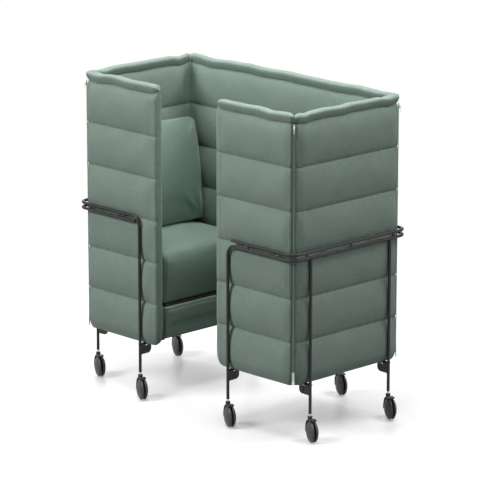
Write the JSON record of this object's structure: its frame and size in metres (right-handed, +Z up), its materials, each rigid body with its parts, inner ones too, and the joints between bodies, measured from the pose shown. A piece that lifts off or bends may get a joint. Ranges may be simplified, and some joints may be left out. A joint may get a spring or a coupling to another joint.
{
  "type": "high-back loveseat",
  "caption": "High-back loveseat booth: quilted panels with zipped corners around facing seats, carried by a slim black tube frame on swivelling castors.",
  "frame": {"origin": "on the floor at the middle of the shell's plan", "axes": "+Z up, +X along the length to the right-hand end seen from the open front, -Y towards the open front"},
  "size_m": [1.405, 0.7251, 1.3685],
  "materials": {
    "quilted_fabric": "sage green woven cover, quilted in horizontal channels over foam",
    "seat_fabric": "sage green woven cover over foam",
    "core_board": "plain plywood, hidden",
    "deck_black": "black stained board edge",
    "frame_coat": "satin black powder coat",
    "bright_steel": "bright zinc plated steel",
    "plug_plastic": "black moulded plastic",
    "hood_plastic": "dark grey moulded plastic",
    "wheel_tread": "dark grey moulded plastic with a slight sheen",
    "zip_coil": "pale green grey nylon coil",
    "zip_metal": "bright plated die casting"
  },
  "bodies": {
    "booth": {"back_panel_board": "core_board", "back_panel_cover": "quilted_fabric", "bracket_bolts": "bright_steel", "castor_stems": "bright_steel", "left_back_cushion": "seat_fabric", "left_back_zip": "zip_coil", "left_end_panel_board": "core_board", "left_end_panel_cover": "quilted_fabric", "left_front_zip": "zip_coil", "left_leg_brackets": "frame_coat", "left_lower_tube": "frame_coat", "left_seat_base": "seat_fabric", "left_seat_cushion": "seat_fabric", "left_seat_deck": "deck_black", "left_side_legs": "frame_coat", "left_underframe": "frame_coat", "left_upper_tube": "frame_coat", "left_wing_board": "core_board", "left_wing_cover": "quilted_fabric", "rail_studs": "bright_steel", "right_back_cushion": "seat_fabric", "right_back_zip": "zip_coil", "right_end_panel_board": "core_board", "right_end_panel_cover": "quilted_fabric", "right_front_zip": "zip_coil", "right_leg_brackets": "frame_coat", "right_lower_tube": "frame_coat", "right_seat_base": "seat_fabric", "right_seat_cushion": "seat_fabric", "right_seat_deck": "deck_black", "right_side_legs": "frame_coat", "right_underframe": "frame_coat", "right_upper_tube": "frame_coat", "right_wing_board": "core_board", "right_wing_cover": "quilted_fabric", "tube_end_plugs": "plug_plastic"},
    "right_front_swivel": {"right_front_castor_hood": "hood_plastic"},
    "right_front_wheels": {"right_front_castor_wheels": "wheel_tread"},
    "right_side_front_swivel": {"right_side_front_castor_hood": "hood_plastic"},
    "right_side_front_wheels": {"right_side_front_castor_wheels": "wheel_tread"},
    "right_side_back_swivel": {"right_side_back_castor_hood": "hood_plastic"},
    "right_side_back_wheels": {"right_side_back_castor_wheels": "wheel_tread"},
    "right_back_swivel": {"right_back_castor_hood": "hood_plastic"},
    "right_back_wheels": {"right_back_castor_wheels": "wheel_tread"},
    "left_front_swivel": {"left_front_castor_hood": "hood_plastic"},
    "left_front_wheels": {"left_front_castor_wheels": "wheel_tread"},
    "left_side_front_swivel": {"left_side_front_castor_hood": "hood_plastic"},
    "left_side_front_wheels": {"left_side_front_castor_wheels": "wheel_tread"},
    "left_side_back_swivel": {"left_side_back_castor_hood": "hood_plastic"},
    "left_side_back_wheels": {"left_side_back_castor_wheels": "wheel_tread"},
    "left_back_swivel": {"left_back_castor_hood": "hood_plastic"},
    "left_back_wheels": {"left_back_castor_wheels": "wheel_tread"},
    "right_front_slider": {"right_front_zip_slider": "zip_metal"},
    "right_back_slider": {"right_back_zip_slider": "zip_metal"},
    "left_back_slider": {"left_back_zip_slider": "zip_metal"},
    "left_front_slider": {"left_front_zip_slider": "zip_metal"}
  },
  "joints": [
    {"name": "right_front_castor_swivel", "type": "hinge", "parent": "booth", "child": "right_front_swivel", "pos_m": [0.271, -0.3295, 0.1], "axis": [0, 0, 1], "continuous": true},
    {"name": "right_front_wheel_spin", "type": "hinge", "parent": "right_front_swivel", "child": "right_front_wheels", "pos_m": [0.29773, -0.34312, 0.045], "axis": [0.454, 0.891, 0], "continuous": true},
    {"name": "right_side_front_castor_swivel", "type": "hinge", "parent": "booth", "child": "right_side_front_swivel", "pos_m": [0.6545, -0.231, 0.1], "axis": [0, 0, 1], "continuous": true},
    {"name": "right_side_front_wheel_spin", "type": "hinge", "parent": "right_side_front_swivel", "child": "right_side_front_wheels", "pos_m": [0.68123, -0.24462, 0.045], "axis": [0.454, 0.891, 0], "continuous": true},
    {"name": "right_side_back_castor_swivel", "type": "hinge", "parent": "booth", "child": "right_side_back_swivel", "pos_m": [0.6545, 0.231, 0.1], "axis": [0, 0, 1], "continuous": true},
    {"name": "right_side_back_wheel_spin", "type": "hinge", "parent": "right_side_back_swivel", "child": "right_side_back_wheels", "pos_m": [0.68123, 0.21738, 0.045], "axis": [0.454, 0.891, 0], "continuous": true},
    {"name": "right_back_castor_swivel", "type": "hinge", "parent": "booth", "child": "right_back_swivel", "pos_m": [0.271, 0.3295, 0.1], "axis": [0, 0, 1], "continuous": true},
    {"name": "right_back_wheel_spin", "type": "hinge", "parent": "right_back_swivel", "child": "right_back_wheels", "pos_m": [0.29773, 0.31588, 0.045], "axis": [0.454, 0.891, 0], "continuous": true},
    {"name": "left_front_castor_swivel", "type": "hinge", "parent": "booth", "child": "left_front_swivel", "pos_m": [-0.271, -0.3295, 0.1], "axis": [0, 0, 1], "continuous": true},
    {"name": "left_front_wheel_spin", "type": "hinge", "parent": "left_front_swivel", "child": "left_front_wheels", "pos_m": [-0.24427, -0.34312, 0.045], "axis": [0.454, 0.891, 0], "continuous": true},
    {"name": "left_side_front_castor_swivel", "type": "hinge", "parent": "booth", "child": "left_side_front_swivel", "pos_m": [-0.6545, -0.231, 0.1], "axis": [0, 0, 1], "continuous": true},
    {"name": "left_side_front_wheel_spin", "type": "hinge", "parent": "left_side_front_swivel", "child": "left_side_front_wheels", "pos_m": [-0.62777, -0.24462, 0.045], "axis": [0.454, 0.891, 0], "continuous": true},
    {"name": "left_side_back_castor_swivel", "type": "hinge", "parent": "booth", "child": "left_side_back_swivel", "pos_m": [-0.6545, 0.231, 0.1], "axis": [0, 0, 1], "continuous": true},
    {"name": "left_side_back_wheel_spin", "type": "hinge", "parent": "left_side_back_swivel", "child": "left_side_back_wheels", "pos_m": [-0.62777, 0.21738, 0.045], "axis": [0.454, 0.891, 0], "continuous": true},
    {"name": "left_back_castor_swivel", "type": "hinge", "parent": "booth", "child": "left_back_swivel", "pos_m": [-0.271, 0.3295, 0.1], "axis": [0, 0, 1], "continuous": true},
    {"name": "left_back_wheel_spin", "type": "hinge", "parent": "left_back_swivel", "child": "left_back_wheels", "pos_m": [-0.24427, 0.31588, 0.045], "axis": [0.454, 0.891, 0], "continuous": true},
    {"name": "right_front_zip_travel", "type": "slide", "parent": "booth", "child": "right_front_slider", "axis": [0, 0, 1], "range_m": [-1, 0]},
    {"name": "right_back_zip_travel", "type": "slide", "parent": "booth", "child": "right_back_slider", "axis": [0, 0, 1], "range_m": [-1, 0]},
    {"name": "left_back_zip_travel", "type": "slide", "parent": "booth", "child": "left_back_slider", "axis": [0, 0, 1], "range_m": [-1, 0]},
    {"name": "left_front_zip_travel", "type": "slide", "parent": "booth", "child": "left_front_slider", "axis": [0, 0, 1], "range_m": [-1, 0]}
  ]
}
